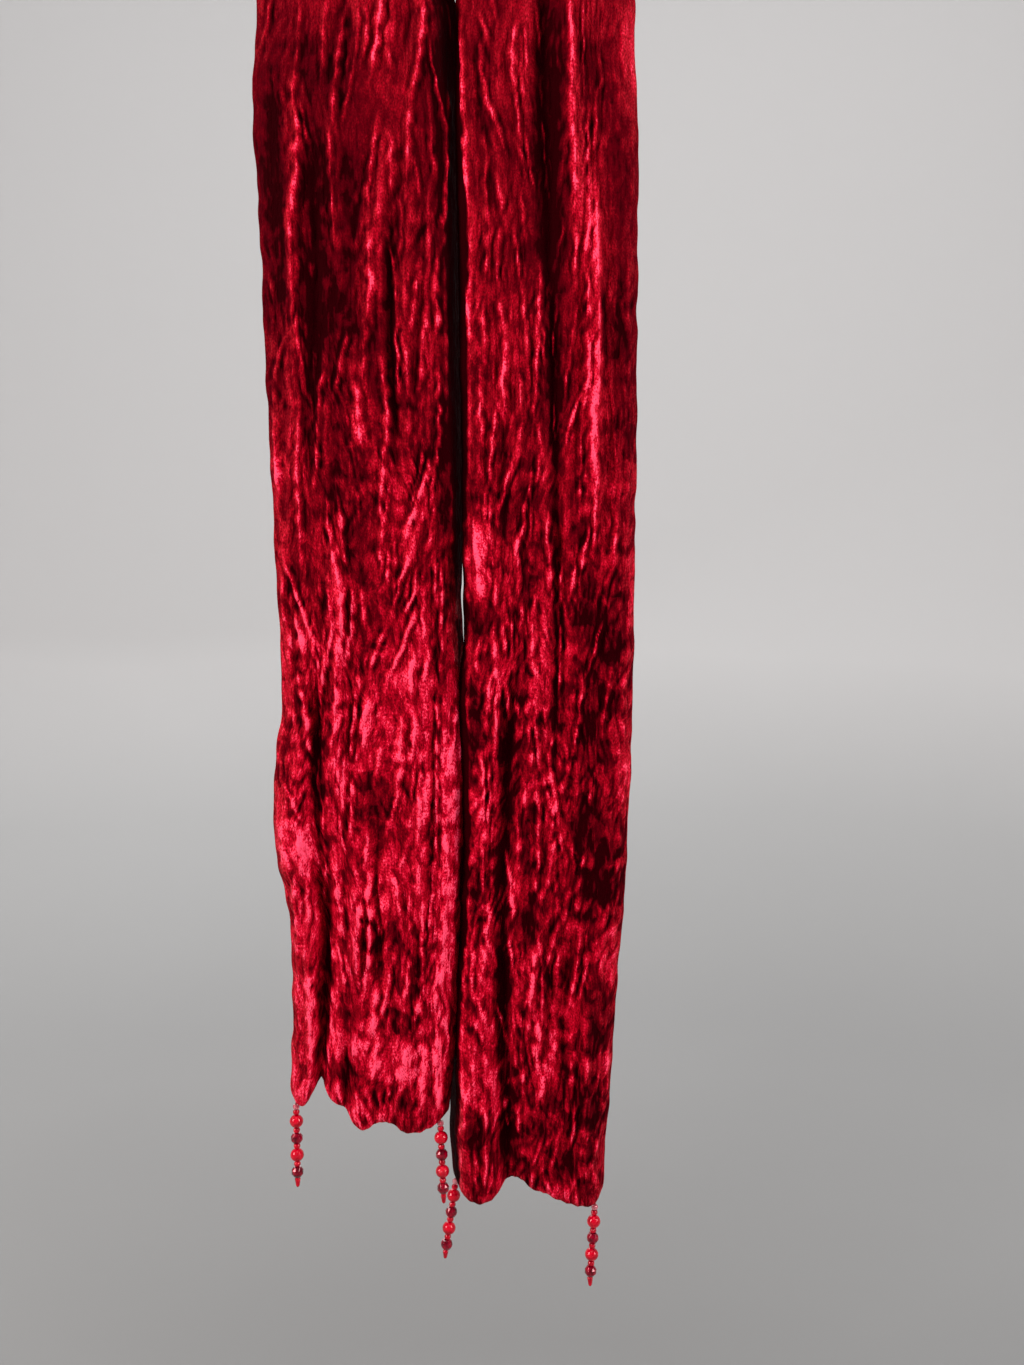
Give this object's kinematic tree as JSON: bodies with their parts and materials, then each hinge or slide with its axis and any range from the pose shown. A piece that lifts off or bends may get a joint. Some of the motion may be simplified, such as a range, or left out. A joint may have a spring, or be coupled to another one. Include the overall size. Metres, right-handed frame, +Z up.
{
  "type": "velvet scarf with bead drops",
  "caption": "Long crinkled red velvet scarf, hung by its middle so that its tails fall side by side, with a drop of red glass beads at each corner.",
  "frame": {"origin": "underside of the loop at its top, where a hand, peg or rod carries the scarf", "axes": "+Z up along the hanging tails, +X to the right across both tails, the front of both tails faces -Y"},
  "size_m": [0.2059, 0.0697, 0.9221],
  "materials": {
    "velvet": "crushed pile velvet, soft sheen on dark wine and crimson",
    "round_glass": "clear red glass, polished",
    "cut_glass": "dark red glass, faceted and polished",
    "seed_glass": "small red glass seed beads on a red thread"
  },
  "bodies": {
    "root": {"tail_left": "velvet", "middle_loop": "velvet", "tail_right": "velvet", "beads_left_outer_thread": "seed_glass", "beads_left_outer_round_1": "round_glass", "beads_left_outer_cut_1": "cut_glass", "beads_left_outer_round_2": "round_glass", "beads_left_outer_cut_2": "cut_glass", "beads_left_inner_thread": "seed_glass", "beads_left_inner_round_1": "round_glass", "beads_left_inner_cut_1": "cut_glass", "beads_left_inner_round_2": "round_glass", "beads_left_inner_cut_2": "cut_glass", "beads_right_inner_thread": "seed_glass", "beads_right_inner_round_1": "round_glass", "beads_right_inner_cut_1": "cut_glass", "beads_right_inner_round_2": "round_glass", "beads_right_inner_cut_2": "cut_glass", "beads_right_outer_thread": "seed_glass", "beads_right_outer_round_1": "round_glass", "beads_right_outer_cut_1": "cut_glass", "beads_right_outer_round_2": "round_glass", "beads_right_outer_cut_2": "cut_glass"}
  },
  "joints": []
}
